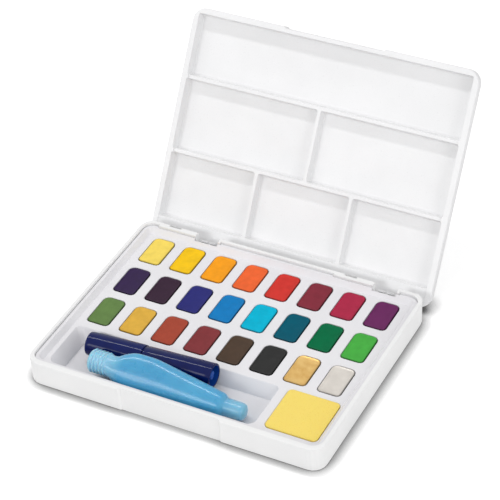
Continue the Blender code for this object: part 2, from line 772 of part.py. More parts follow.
def build_brush(cap_material, grip_material, tuft_material):
    """The brush head: a cap over the tuft, and the grip whose open end takes the reservoir."""
    axis = (BRUSH_RIGHT - BRUSH_LEFT).normalized()
    length = (BRUSH_RIGHT - BRUSH_LEFT).length
    cap_bore = CAP_RADIUS - CAP_WALL
    edge = CAP_END_WALL / 4
    cap = turned(
        "brush_cap",
        BRUSH_LEFT,
        axis,
        [
            (0, CAP_END_RADIUS - edge),
            (edge, CAP_END_RADIUS),
            (CAP_END_WALL, CAP_RADIUS - CAP_WALL / 4),
            (CAP_LENGTH / 2, CAP_RADIUS),
            (CAP_LENGTH, CAP_RADIUS),
            (CAP_LENGTH, cap_bore),
            (CAP_END_WALL, cap_bore - CAP_WALL / 2),
        ],
        cap_material,
    )
    start = CAP_LENGTH + CLEARANCE
    socket = GRIP_RADIUS - GRIP_WALL
    floor = length - SOCKET_DEPTH
    grip = turned(
        "brush_grip",
        BRUSH_LEFT,
        axis,
        [
            (start - SPIGOT_LENGTH - NOSE_LENGTH, FERRULE_BORE / 2 + TUFT_TIP_RADIUS * 2),
            (start - SPIGOT_LENGTH, NOSE_RADIUS),
            (start - SPIGOT_LENGTH, SPIGOT_RADIUS),
            (start, SPIGOT_RADIUS),
            (start, GRIP_RADIUS - GRIP_STEP),
            (start + GRIP_STEP_LENGTH, GRIP_RADIUS - GRIP_STEP),
            (start + GRIP_STEP_LENGTH + GRIP_STEP, GRIP_RADIUS),
            (length - GRIP_STEP, GRIP_RADIUS),
            (length, GRIP_RADIUS - GRIP_STEP),
            (length, socket),
            (floor, socket),
            (floor, SOCKET_BOSS_RADIUS),
            (length - SOCKET_BOSS_SHORT - GRIP_STEP, SOCKET_BOSS_RADIUS),
            (length - SOCKET_BOSS_SHORT, SOCKET_BOSS_RADIUS - GRIP_STEP),
        ],
        grip_material,
    )
    tuft_end = start - SPIGOT_LENGTH - NOSE_LENGTH - CLEARANCE
    tuft = turned(
        "brush_tuft",
        BRUSH_LEFT,
        axis,
        [
            (tuft_end - TUFT_LENGTH, TUFT_TIP_RADIUS),
            (tuft_end - TUFT_LENGTH * 3 / 4, TUFT_RADIUS / 2),
            (tuft_end - TUFT_LENGTH / 3, TUFT_BELLY_RADIUS),
            (tuft_end, TUFT_RADIUS),
        ],
        tuft_material,
    )
    return cap, grip, tuft


def build_reservoir(material):
    """The squeeze reservoir: ribbed neck with its mouth, oval belly and round tail, hollow inside."""
    start = TROUGH_LEFT + RESERVOIR_START
    lean, upright = math.cos(BELLY_LEAN), math.sin(BELLY_LEAN)

    def ring(x, back, rise, long_radius, short_radius):
        centre = Vector((x, TROUGH_FRONT + back, TROUGH_FLOOR + rise))
        points = []
        for step in range(ROUND_STEPS):
            turn = math.tau * step / ROUND_STEPS
            far, near = long_radius * math.cos(turn), short_radius * math.sin(turn)
            offset = Vector((0, far * lean - near * upright, far * upright + near * lean))
            points.append(centre + offset)
        return points

    def neck_ring(x, radius):
        return ring(x, NECK_BACK, NECK_RISE, radius, radius)

    def belly_ring(section, wall):
        along, long_share, short_share, back, rise = section
        long_radius, short_radius = BELLY_LONG * long_share - wall, BELLY_SHORT * short_share - wall
        place = start + RESERVOIR_LENGTH * along
        return ring(place, BELLY_LONG * back, BELLY_LONG * rise, long_radius, short_radius)

    def tail_ring(section, wall):
        along, share = section
        radius = TAIL_RADIUS * share - wall
        return ring(start + RESERVOIR_LENGTH * along, TAIL_BACK, TAIL_RISE, radius, radius)

    neck = [(start, NECK_RADIUS)]
    for count in range(THREAD_COUNT):
        crest = start + NECK_LEAD + count * THREAD_PITCH
        neck += [
            (crest, THREAD_RADIUS),
            (crest + THREAD_WIDTH, THREAD_RADIUS),
            (crest + THREAD_PITCH / 2 + THREAD_WIDTH / 2, NECK_RADIUS),
        ]
    neck.append((start + NECK_LENGTH, NECK_RADIUS))
    outside = [neck_ring(x, radius) for x, radius in neck]
    outside += [belly_ring(section, 0) for section in BELLY_SHARES]
    outside += [tail_ring(section, 0) for section in TAIL_SHARES]
    inside = [neck_ring(start, NECK_BORE), neck_ring(start + NECK_LENGTH, NECK_BORE)]
    inside += [belly_ring(section, RESERVOIR_WALL) for section in BELLY_SHARES[::2]]
    inside += [tail_ring(section, RESERVOIR_WALL) for section in TAIL_SHARES[:2]]
    return loft("water_reservoir", [*reversed(outside), *inside], material=material)


def main():
    for obj in list(bpy.data.objects):
        bpy.data.objects.remove(obj, do_unlink=True)
    build_base(finish("base_white", (0.93, 0.93, 0.93), 0.38))
    build_lid(finish("lid_white", (0.94, 0.94, 0.94), 0.35))
    build_insert(finish("insert_white", (0.90, 0.91, 0.93), 0.40))
    cup_material = finish("pan_white", (0.92, 0.92, 0.92), 0.45)
    for (tag, paint, colour), (x, y) in zip(PAINTS, pan_places()):
        metallic = 0.6 if paint in METAL_PAINTS else 0.0
        build_pan(tag, paint, x, y, cup_material, finish(f"paint_{paint}", colour, 0.6, metallic))
    build_sponge(finish("sponge_yellow", (0.95, 0.85, 0.42), 0.95))
    build_brush(
        finish("cap_navy", (0.12, 0.16, 0.40), 0.18),
        finish("grip_navy", (0.11, 0.15, 0.38), 0.20),
        finish("tuft_white", (0.93, 0.93, 0.90), 0.6),
    )
    build_reservoir(finish("reservoir_blue", (0.36, 0.71, 0.86), 0.15))


main()
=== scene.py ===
"""Watercolour paint box, dressed and lit as in its photograph.

The moulded shells, the insert tray and the pans keep their solids and get their finishes here. The
cakes of paint, the sponge, the brush head and the squeeze reservoir are built again with the detail
that the solids leave out. Lengths are metres, +Z is up and +Y points to the hinge.
"""

from __future__ import annotations

import logging
import math
from dataclasses import dataclass
from enum import Enum
from typing import Any, Sequence

import bmesh
import bpy
from mathutils import Matrix, Vector, noise

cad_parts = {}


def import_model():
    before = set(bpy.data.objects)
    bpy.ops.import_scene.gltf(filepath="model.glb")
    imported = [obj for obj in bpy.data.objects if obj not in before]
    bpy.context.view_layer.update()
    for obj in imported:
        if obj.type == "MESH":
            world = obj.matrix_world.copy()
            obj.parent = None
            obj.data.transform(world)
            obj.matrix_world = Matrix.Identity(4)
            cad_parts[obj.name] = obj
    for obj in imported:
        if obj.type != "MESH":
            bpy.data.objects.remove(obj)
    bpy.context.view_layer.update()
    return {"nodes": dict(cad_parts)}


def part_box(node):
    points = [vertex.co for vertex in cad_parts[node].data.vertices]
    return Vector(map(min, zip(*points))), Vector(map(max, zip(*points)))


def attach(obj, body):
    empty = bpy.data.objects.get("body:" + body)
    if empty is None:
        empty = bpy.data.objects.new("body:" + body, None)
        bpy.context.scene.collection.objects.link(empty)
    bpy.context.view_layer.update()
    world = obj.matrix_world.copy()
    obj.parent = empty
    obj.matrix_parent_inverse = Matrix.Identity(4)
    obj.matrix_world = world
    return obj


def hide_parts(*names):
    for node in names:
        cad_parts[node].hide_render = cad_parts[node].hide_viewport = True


LOG = logging.getLogger("paint_box")
MM = 0.001

Ring = list[Vector]


def linear(colour: str) -> tuple[float, float, float, float]:
    """Turn an sRGB hex colour into the linear values of a shader socket.

    Args:
        colour: Six hex digits, with a leading hash.

    Returns:
        Linear red, green and blue, with an alpha of one.
    """
    channels = [int(colour[at : at + 2], 16) / 255 for at in (1, 3, 5)]
    shares = [c / 12.92 if c <= 0.04045 else ((c + 0.055) / 1.055) ** 2.4 for c in channels]
    return shares[0], shares[1], shares[2], 1.0


def add_node(
    tree: bpy.types.NodeTree, kind: str, inputs: dict[str | int, Any] | None = None, **settings: Any
) -> bpy.types.Node:
    """Add one shader node with its settings and links.

    Args:
        tree: The node tree that it goes in.
        kind: Blender's name of the node type.
        inputs: For each input socket, a value or the output socket that feeds it.
        **settings: Attributes of the node itself.

    Returns:
        The new node.
    """
    node = tree.nodes.new(kind)
    for name, value in settings.items():
        setattr(node, name, value)
    for key, value in (inputs or {}).items():
        if isinstance(value, bpy.types.NodeSocket):
            tree.links.new(value, node.inputs[key])
        else:
            node.inputs[key].default_value = value
    return node


def per_metre(period_mm: float) -> float:
    """Scale of a pattern that repeats about every so many millimetres."""
    return 1 / (period_mm * MM)


@dataclass(frozen=True)
class Finish:
    """A finish: one material, made of nodes, that is named for what it is."""

    name: str

    def build(self) -> bpy.types.Material:
        """Make the material.

        Returns:
            A new material with this finish's nodes in it.
        """
        material = bpy.data.materials.new(self.name)
        material.use_nodes = True
        tree = material.node_tree
        tree.nodes.clear()
        place = add_node(tree, "ShaderNodeTexCoord").outputs["Object"]
        surface = self.surface(tree, place)
        add_node(tree, "ShaderNodeOutputMaterial", {"Surface": surface})
        return material

    def surface(self, tree: bpy.types.NodeTree, place: bpy.types.NodeSocket) -> bpy.types.NodeSocket:
        """Add the nodes of this finish.

        Args:
            tree: The material's node tree.
            place: The point on the object, in metres.

        Returns:
            The shader that the surface shows.
        """
        raise NotImplementedError

    @staticmethod
    def speckle(
        tree: bpy.types.NodeTree, place: bpy.types.NodeSocket, period_mm: float, detail: float = 2.0
    ) -> bpy.types.NodeSocket:
        """Cloudy noise at a real size.

        Args:
            tree: The material's node tree.
            place: The point on the object, in metres.
            period_mm: Distance from one cloud to the next.
            detail: How many finer layers it has.

        Returns:
            The noise, from 0 to 1.
        """
        inputs = {"Vector": place, "Scale": per_metre(period_mm), "Detail": detail}
        return add_node(tree, "ShaderNodeTexNoise", inputs).outputs["Fac"]

    @staticmethod
    def between(
        tree: bpy.types.NodeTree, share: bpy.types.NodeSocket, low: float, high: float
    ) -> bpy.types.NodeSocket:
        """Stretch the middle of a noise onto a range.

        Args:
            tree: The material's node tree.
            share: The noise, from 0 to 1.
            low: The value where the noise is low.
            high: The value where the noise is high.

        Returns:
            The value in that range.
        """
        inputs = {"Value": share, "From Min": 0.3, "From Max": 0.7, "To Min": low, "To Max": high}
        return add_node(tree, "ShaderNodeMapRange", inputs).outputs["Result"]

    @staticmethod
    def tint(
        tree: bpy.types.NodeTree, share: bpy.types.NodeSocket, low: str, high: str
    ) -> bpy.types.NodeSocket:
        """Blend two colours by a noise.

        Args:
            tree: The material's node tree.
            share: The noise, from 0 to 1.
            low: Hex colour where the noise is low.
            high: Hex colour where the noise is high.

        Returns:
            The blended colour.
        """
        ramp = add_node(tree, "ShaderNodeValToRGB", {"Fac": share})
        for element, at, colour in zip(ramp.color_ramp.elements, (0.3, 0.7), (low, high)):
            element.position = at
            element.color = linear(colour)
        return ramp.outputs["Color"]

    @staticmethod
    def relief(
        tree: bpy.types.NodeTree,
        height: bpy.types.NodeSocket,
        depth_mm: float,
        below: bpy.types.NodeSocket | None = None,
    ) -> bpy.types.NodeSocket:
        """Turn a noise into a bump of a real depth.

        Args:
            tree: The material's node tree.
            height: The noise, from 0 to 1.
            depth_mm: Height of the bump.
            below: The normal that it is laid over.

        Returns:
            The bent normal.
        """
        inputs: dict[str | int, Any] = {"Height": height, "Distance": depth_mm * MM, "Strength": 1.0}
        if below is not None:
            inputs["Normal"] = below
        return add_node(tree, "ShaderNodeBump", inputs).outputs["Normal"]


@dataclass(frozen=True)
class MouldedPolystyrene(Finish):
    """High-impact polystyrene, injection moulded white.

    To the eye it is a satin white with a soft gloss: a fine grain from the tool breaks the
    highlights up, slow waves from shrinkage bend them, and moulded edges are never quite sharp.
    """

    low: str
    high: str
    smooth: float = 0.30
    rough: float = 0.42
    edge_mm: float = 0.18

    def surface(self, tree: bpy.types.NodeTree, place: bpy.types.NodeSocket) -> bpy.types.NodeSocket:
        """Satin white plastic with grain, waves and softened edges.

        Args:
            tree: The material's node tree.
            place: The point on the object, in metres.

        Returns:
            The shader.
        """
        clouds = self.speckle(tree, place, 28.0)
        # A satin mould's grain is finer than 0.9 mm; it is drawn at that size so that it shows.
        grain = self.speckle(tree, place, 0.9, 3.0)
        waves = self.speckle(tree, place, 11.0, 0.0)
        edges = add_node(tree, "ShaderNodeBevel", {"Radius": self.edge_mm * MM}, samples=8)
        slow = self.relief(tree, waves, 0.02, edges.outputs["Normal"])
        inputs = {
            "Base Color": self.tint(tree, clouds, self.low, self.high),
            "Roughness": self.between(tree, grain, self.smooth, self.rough),
            "IOR": 1.5,
            "Specular IOR Level": 0.5,
            "Normal": self.relief(tree, grain, 0.002, slow),
        }
        return add_node(tree, "ShaderNodeBsdfPrincipled", inputs).outputs["BSDF"]


@dataclass(frozen=True)
class PressedWatercolour(Finish):
    """Watercolour pressed dry in its pan: pigment in gum and glycerine.

    To the eye it is a deep colour with a dull sheen, a granular skin, cloudy patches, and a narrow
    dark edge where the pigment gathers as it dries. On the right and front sides the dark edge is
    painted wider, as painted shade for the shaded gap around the cake.
    """

    body: str
    patch: str
    # How much of the body colour is left in the dark pigment edge and in the painted shade.
    dark_edge_and_shade: float = 0.16

    def surface(self, tree: bpy.types.NodeTree, place: bpy.types.NodeSocket) -> bpy.types.NodeSocket:
        """Granular pigment with cloudy patches and a dark edge.

        Args:
            tree: The material's node tree.
            place: The point on the object, in metres.

        Returns:
            The shader.
        """
        clouds = self.speckle(tree, place, 4.5, 3.0)
        # Pigment is far finer than 0.5 mm; its grains are drawn at that size so that they show.
        grains = self.speckle(tree, place, 0.5, 2.0)
        inputs = {
            "Base Color": self.edged(tree, self.tint(tree, clouds, self.body, self.patch), grains),
            "Roughness": self.between(tree, clouds, 0.40, 0.55),
            "IOR": 1.47,
            "Specular IOR Level": 0.08,
            "Normal": self.relief(tree, grains, 0.02, self.relief(tree, clouds, 0.05)),
        }
        return add_node(tree, "ShaderNodeBsdfPrincipled", inputs).outputs["BSDF"]

    def edged(
        self, tree: bpy.types.NodeTree, colour: bpy.types.NodeSocket, grains: bpy.types.NodeSocket
    ) -> bpy.types.NodeSocket:
        """Darken the colour along the cake's edge, with painted shade on the right and front sides.

        Args:
            tree: The material's node tree.
            colour: The colour of the middle.
            grains: Fine noise that frays the dark edge.

        Returns:
            The colour with its dark edge.
        """
        # The edge attribute holds the narrow pigment edge and the painted shade on the right and front sides.
        edge = add_node(tree, "ShaderNodeAttribute", attribute_name="edge").outputs["Fac"]
        frayed = add_node(
            tree, "ShaderNodeMath", {0: edge, 1: self.between(tree, grains, 0.8, 1.0)}, operation="MULTIPLY"
        ).outputs[0]
        dark = tuple(channel * self.dark_edge_and_shade for channel in linear(self.body)[:3])
        inputs = {"Factor": frayed, "A": colour, "B": (*dark, 1.0)}
        return add_node(tree, "ShaderNodeMix", inputs, data_type="RGBA").outputs["Result"]


@dataclass(frozen=True)
class MicaWatercolour(PressedWatercolour):
    """Watercolour loaded with mica flakes coated in oxide.

    To the eye it is a metal-like sheen that flashes where the flakes lie flat and goes matt where
    they stand, in fine glitter.
    """

    metallic: float = 0.6
    flake_mm: float = 0.35

    def surface(self, tree: bpy.types.NodeTree, place: bpy.types.NodeSocket) -> bpy.types.NodeSocket:
        """Glittering flakes over the pressed colour.

        Args:
            tree: The material's node tree.
            place: The point on the object, in metres.

        Returns:
            The shader.
        """
        # Mica flakes are far finer than 0.35 mm; they are drawn at that size so that they show.
        flakes = add_node(
            tree, "ShaderNodeTexVoronoi", {"Vector": place, "Scale": per_metre(self.flake_mm)}
        ).outputs["Color"]
        clouds = self.speckle(tree, place, 6.0, 3.0)
        inputs = {
            "Base Color": self.edged(tree, self.tint(tree, clouds, self.body, self.patch), clouds),
            "Metallic": self.metallic,
            "Roughness": self.between(tree, clouds, 0.30, 0.44),
            "Normal": self.relief(tree, flakes, 0.012, self.relief(tree, clouds, 0.08)),
        }
        return add_node(tree, "ShaderNodeBsdfPrincipled", inputs).outputs["BSDF"]


@dataclass(frozen=True)
class CelluloseFoam(Finish):
    """Viscose sponge, foamed and sawn square.

    To the eye it is matt and warm, with round open pores of mixed sizes, painted darker inside as painted
    shade.
    """

    skin: str
    # The darker colour painted into the pores as painted shade.
    pore: str
    pore_mm: float = 1.1

    def surface(self, tree: bpy.types.NodeTree, place: bpy.types.NodeSocket) -> bpy.types.NodeSocket:
        """Matt foam with open pores.

        Args:
            tree: The material's node tree.
            place: The point on the object, in metres.

        Returns:
            The shader.
        """
        cells = add_node(
            tree, "ShaderNodeTexVoronoi", {"Vector": place, "Scale": per_metre(self.pore_mm)}
        ).outputs["Distance"]
        clouds = self.speckle(tree, place, 5.0, 3.0)
        # Painted shade: each pore is tinted darker towards its middle.
        holes = add_node(
            tree, "ShaderNodeMapRange", {"Value": cells, "From Min": 0.08, "From Max": 0.3}
        ).outputs["Result"]
        inputs = {
            "Base Color": self.tint(tree, holes, self.pore, self.skin),
            "Roughness": self.between(tree, clouds, 0.86, 0.97),
            "Specular IOR Level": 0.2,
            "Subsurface Weight": 0.15,
            "Subsurface Radius": (0.0012, 0.0009, 0.0003),
            "Subsurface Scale": 1.0,
            "Normal": self.relief(tree, holes, 0.10, self.relief(tree, clouds, 0.10)),
        }
        return add_node(tree, "ShaderNodeBsdfPrincipled", inputs).outputs["BSDF"]


@dataclass(frozen=True)
class PolishedNavy(Finish):
    """Acrylonitrile-butadiene-styrene moulded in a polished tool, dyed navy.

    To the eye it is a near-black blue with long clear highlights that waver a little.
    """

    low: str
    high: str

    def surface(self, tree: bpy.types.NodeTree, place: bpy.types.NodeSocket) -> bpy.types.NodeSocket:
        """Glossy dyed plastic.

        Args:
            tree: The material's node tree.
            place: The point on the object, in metres.

        Returns:
            The shader.
        """
        clouds = self.speckle(tree, place, 9.0)
        smudges = self.speckle(tree, place, 3.5, 3.0)
        inputs = {
            "Base Color": self.tint(tree, clouds, self.low, self.high),
            "Roughness": self.between(tree, smudges, 0.05, 0.09),
            "IOR": 1.5,
            "Specular IOR Level": 0.2,
            "Normal": self.relief(tree, self.speckle(tree, place, 12.0, 0.0), 0.002),
        }
        return add_node(tree, "ShaderNodeBsdfPrincipled", inputs).outputs["BSDF"]


@dataclass(frozen=True)
class SqueezePolyethylene(Finish):
    """Low-density polyethylene, blow moulded and dyed a clear light blue.

    To the eye it is waxy and half clear: light scatters in it, so that edges glow, and the surface
    keeps soft streaks of highlight. The neck and the tail are painted paler, as painted light for the
    light that shines through the plastic there.
    """

    low: str
    high: str
    # The paler colour painted on the neck and the tail, as painted light.
    neck: str

    def surface(self, tree: bpy.types.NodeTree, place: bpy.types.NodeSocket) -> bpy.types.NodeSocket:
        """Waxy half-clear blue plastic, with painted light on the neck and the tail.

        Args:
            tree: The material's node tree.
            place: The point on the object, in metres.

        Returns:
            The shader.
        """
        clouds = self.speckle(tree, place, 16.0)
        haze = self.speckle(tree, place, 5.0, 1.0)
        # Painted light: the neck and the tail are blended towards a paler colour, for light shining through
        # the plastic.
        along = add_node(tree, "ShaderNodeSeparateXYZ", {"Vector": place}).outputs["X"]
        reach = {"Value": along, "From Min": -0.052, "From Max": -0.040, "To Min": 0.75, "To Max": 0.0}
        neck_painted_light = add_node(tree, "ShaderNodeMapRange", reach).outputs["Result"]
        reach = {"Value": along, "From Min": 0.024, "From Max": 0.034, "To Min": 0.0, "To Max": 0.4}
        tail = add_node(tree, "ShaderNodeMapRange", reach).outputs["Result"]
        painted_light_share = add_node(tree, "ShaderNodeMath", {0: neck_painted_light, 1: tail}, operation="MAXIMUM").outputs[0]
        mixed = {"Factor": painted_light_share, "A": self.tint(tree, clouds, self.low, self.high), "B": linear(self.neck)}
        inputs = {
            "Base Color": add_node(tree, "ShaderNodeMix", mixed, data_type="RGBA").outputs["Result"],
            "Sheen Weight": 0.6,
            "Sheen Roughness": 0.25,
            "Roughness": self.between(tree, haze, 0.26, 0.34),
            "IOR": 1.51,
            "Specular IOR Level": 0.35,
            "Coat Weight": 0.5,
            "Coat Roughness": 0.14,
            "Subsurface Weight": 0.6,
            "Subsurface Radius": (0.001, 0.003, 0.004),
            "Subsurface Scale": 1.0,
            "Normal": self.relief(tree, clouds, 0.05),
        }
        return add_node(tree, "ShaderNodeBsdfPrincipled", inputs).outputs["BSDF"]


@dataclass(frozen=True)
class NylonBristle(Finish):
    """Tapered nylon filaments, gathered to a point.

    To the eye it is off-white with fine lines along the hairs and a silky sheen.
    """

    low: str
    high: str

    def surface(self, tree: bpy.types.NodeTree, place: bpy.types.NodeSocket) -> bpy.types.NodeSocket:
        """Fine hairs along the brush.

        Args:
            tree: The material's node tree.
            place: The point on the object, in metres.

        Returns:
            The shader.
        """
        # Hairs are 0.1 mm across; they are drawn at 0.25 mm so that they show.
        stretched = add_node(
            tree, "ShaderNodeMapping", {"Vector": place, "Scale": (0.06, 1.0, 1.0)}
        ).outputs["Vector"]
        hairs = self.speckle(tree, stretched, 0.25, 2.0)
        inputs = {
            "Base Color": self.tint(tree, hairs, self.low, self.high),
            "Roughness": self.between(tree, hairs, 0.4, 0.6),
            "Sheen Weight": 0.2,
            "Normal": self.relief(tree, hairs, 0.03),
        }
        return add_node(tree, "ShaderNodeBsdfPrincipled", inputs).outputs["BSDF"]


class Paint(Enum):
    """The 24 colours, row by row from the hinge, as body and patch."""

    pale_yellow = ("#EDD260", "#FCDF67")
    yellow = ("#ECBE1A", "#FBCA1C")
    orange_yellow = ("#F09B1E", "#FFA620")
    orange = ("#E76432", "#F56B36")
    red = ("#C9362F", "#D63A33")
    crimson = ("#7E2D3A", "#87313F")
    magenta = ("#A62A46", "#B12D4B")
    purple = ("#66295A", "#6D2C60")
    dark_violet = ("#342548", "#38284E")
    aubergine = ("#362334", "#3A2638")
    ultramarine = ("#2B2C70", "#2E3078")
    sky_blue = ("#1477B7", "#167FC3")
    turquoise = ("#00ADCC", "#00B9D9")
    dark_teal = ("#005467", "#005A6E")
    green = ("#00673F", "#006E43")
    bright_green = ("#47A743", "#4CB248")
    leaf_green = ("#617E47", "#68874C")
    ochre = ("#D5A843", "#E3B348")
    brick = ("#A04634", "#AB4B38")
    maroon = ("#7D3538", "#86393D")
    umber = ("#4B3C31", "#514034")
    black = ("#2F2F2F", "#333333")
    gold = ("#CFA257", "#E0BC76")
    pearl = ("#D0CAC2", "#DCD6CE")

    def finish(self) -> Finish:
        """Pick the cake's finish, with mica where the colour is a metal one.

        Returns:
            The finish.
        """
        body, patch = self.value
        name = f"watercolour_{self.name}"
        if self is Paint.gold:
            return MicaWatercolour(name, body, patch, metallic=0.6)
        if self is Paint.pearl:
            return MicaWatercolour(name, body, patch, metallic=0.2)
        return PressedWatercolour(name, body, patch)


def mesh_object(name: str, mesh: bmesh.types.BMesh, smooth_below: float = 40.0) -> bpy.types.Object:
    """Turn a finished bmesh into a smooth object of the scene.

    Args:
        name: The object's name.
        mesh: The bmesh, which is freed.
        smooth_below: Edges bent by more degrees than this stay crisp.

    Returns:
        The new object.
    """
    bmesh.ops.recalc_face_normals(mesh, faces=mesh.faces)
    data = bpy.data.meshes.new(name)
    mesh.to_mesh(data)
    mesh.free()
    data.shade_smooth()
    data.set_sharp_from_angle(angle=math.radians(smooth_below))
    obj = bpy.data.objects.new(name, data)
    bpy.context.scene.collection.objects.link(obj)
    return obj


def rounded_outline(
    low: Vector, high: Vector, front_radius: float, back_radius: float, z: float, steps: int, straight: int
) -> Ring:
    """A rounded rectangle as points, anticlockwise from its right front corner.

    Args:
        low: Its lowest x and y.
        high: Its highest x and y.
        front_radius: Radius of the two corners nearest the viewer.
        back_radius: Radius of the two corners nearest the hinge.
        z: Its height.
        steps: Parts in each corner.
        straight: Parts in each straight side.

    Returns:
        The points, the same number for any radius.
    """
    corners = (
        (high.x, low.y, -1, 1, front_radius, -90),
        (high.x, high.y, -1, -1, back_radius, 0),
        (low.x, high.y, 1, -1, back_radius, 90),
        (low.x, low.y, 1, 1, front_radius, 180),
    )
    arcs: list[Ring] = []
    for x, y, inward_x, inward_y, radius, start in corners:
        centre = Vector((x + inward_x * radius, y + inward_y * radius, z))
        turns = [math.radians(start + 90 * step / steps) for step in range(steps + 1)]
        arcs.append([centre + radius * Vector((math.cos(t), math.sin(t), 0)) for t in turns])
    points: Ring = []
    for arc, following in zip(arcs, arcs[1:] + arcs[:1]):
        points += arc
        points += [arc[-1].lerp(following[0], part / straight) for part in range(1, straight)]
    return points


def skin(mesh: bmesh.types.BMesh, rings: Sequence[Ring]) -> list[list[Any]]:
    """Join stacked rings of equal count into a closed surface.

    Args:
        mesh: The bmesh that it goes in.
        rings: The rings, in order.

    Returns:
        The vertices of each ring.
    """
    loops = [[mesh.verts.new(point) for point in ring] for ring in rings]
    count = len(loops[0])
    for lower, upper in zip(loops, loops[1:]):
        for at in range(count):
            beside = (at + 1) % count
            mesh.faces.new((lower[at], lower[beside], upper[beside], upper[at]))
    mesh.faces.new(list(reversed(loops[0])))
    mesh.faces.new(loops[-1])
    return loops


def ease(share: float) -> float:
    """A smooth step from 0 to 1."""
    kept = min(max(share, 0.0), 1.0)
    return kept * kept * (3 - 2 * kept)


def smooth_stations(stations: Sequence[Sequence[float]], parts: int) -> list[list[float]]:
    """Fill in between given stations with a curve through all of them.

    Args:
        stations: Rows of numbers of which each column runs smoothly.
        parts: New rows from one station to the next.

    Returns:
        The denser rows, the given ones among them.
    """
    rows: list[list[float]] = []
    last = len(stations) - 1
    for at in range(last):
        around = [stations[max(at - 1, 0)], stations[at], stations[at + 1], stations[min(at + 2, last)]]
        for part in range(parts):
            t = part / parts
            weights = (
                (-t + 2 * t * t - t**3) / 2,
                (2 - 5 * t * t + 3 * t**3) / 2,
                (t + 4 * t * t - 3 * t**3) / 2,
                (t**3 - t * t) / 2,
            )
            rows.append([sum(w * row[c] for w, row in zip(weights, around)) for c in range(len(stations[0]))])
    rows.append(list(stations[last]))
    return rows


@dataclass
class MouldedShells:
    """The base, the lid, the insert tray and the pans: solids of the frame with their finishes."""

    base: Finish = MouldedPolystyrene("polystyrene_base", "#EEEEEE", "#F2F2F2")
    lid: Finish = MouldedPolystyrene("polystyrene_lid", "#E9E9EA", "#EDEDEE", smooth=0.26, rough=0.36)
    insert: Finish = MouldedPolystyrene("polystyrene_insert", "#E4E3E6", "#E8E7EA", smooth=0.34, rough=0.46)
    pan: Finish = MouldedPolystyrene("polystyrene_pan", "#DEDFE1", "#E4E5E6", edge_mm=0.12)

    def dress(self, nodes: dict[str, bpy.types.Object]) -> None:
        """Give each shell and pan its finish.

        Args:
            nodes: The frame's solids by name.
        """
        pan = self.pan.build()
        finishes = {
            "base_shell": self.base.build(),
            "lid_shell": self.lid.build(),
            "insert_tray": self.insert.build(),
        }
        for name, obj in nodes.items():
            material = pan if name.startswith("pan_") else finishes.get(name)
            if material:
                obj.data.materials.clear()
                obj.data.materials.append(material)
                LOG.info("dressed %s as %s", name, material.name)


